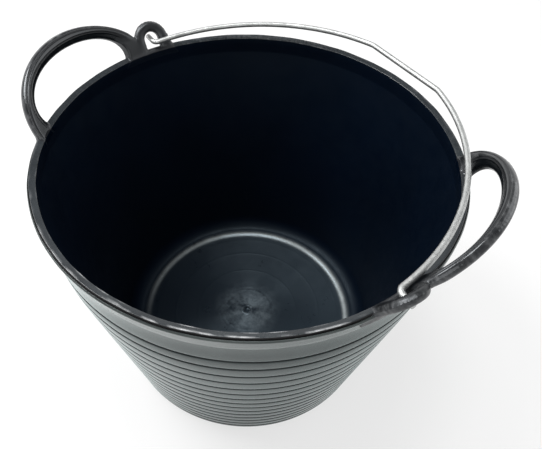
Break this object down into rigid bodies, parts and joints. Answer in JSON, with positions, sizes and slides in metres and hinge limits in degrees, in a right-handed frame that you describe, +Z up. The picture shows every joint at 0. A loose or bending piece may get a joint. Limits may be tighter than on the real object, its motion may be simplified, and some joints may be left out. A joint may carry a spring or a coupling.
{
  "type": "builders bucket",
  "caption": "Black rubber builders' bucket with a grooved, flared wall, loop handles leaning out from the rim, and a wire bail that folds down in its ears.",
  "frame": {"origin": "middle of the base, on the ground it stands on", "axes": "+Z up along the bucket's axis, +X out through the middle of one loop handle, +Y by the right-hand rule"},
  "size_m": [0.4092, 0.36, 0.2959],
  "materials": {
    "rubber": "moulded black rubber, satin",
    "galvanised_wire": "galvanised, dull bright"
  },
  "bodies": {
    "bucket": {"bucket_wall": "rubber", "bucket_floor": "rubber", "rim_collar": "rubber", "side_handle_front": "rubber", "side_handle_rear": "rubber", "bail_ear_front": "rubber", "bail_ear_rear": "rubber"},
    "bail": {"bail_wire": "galvanised_wire"}
  },
  "joints": [
    {"name": "bail_hinge", "type": "hinge", "parent": "bucket", "child": "bail", "pos_m": [0, 0, 0.2618], "axis": [0.8788, -0.4772, 0], "range_deg": [0, 171.2]}
  ]
}
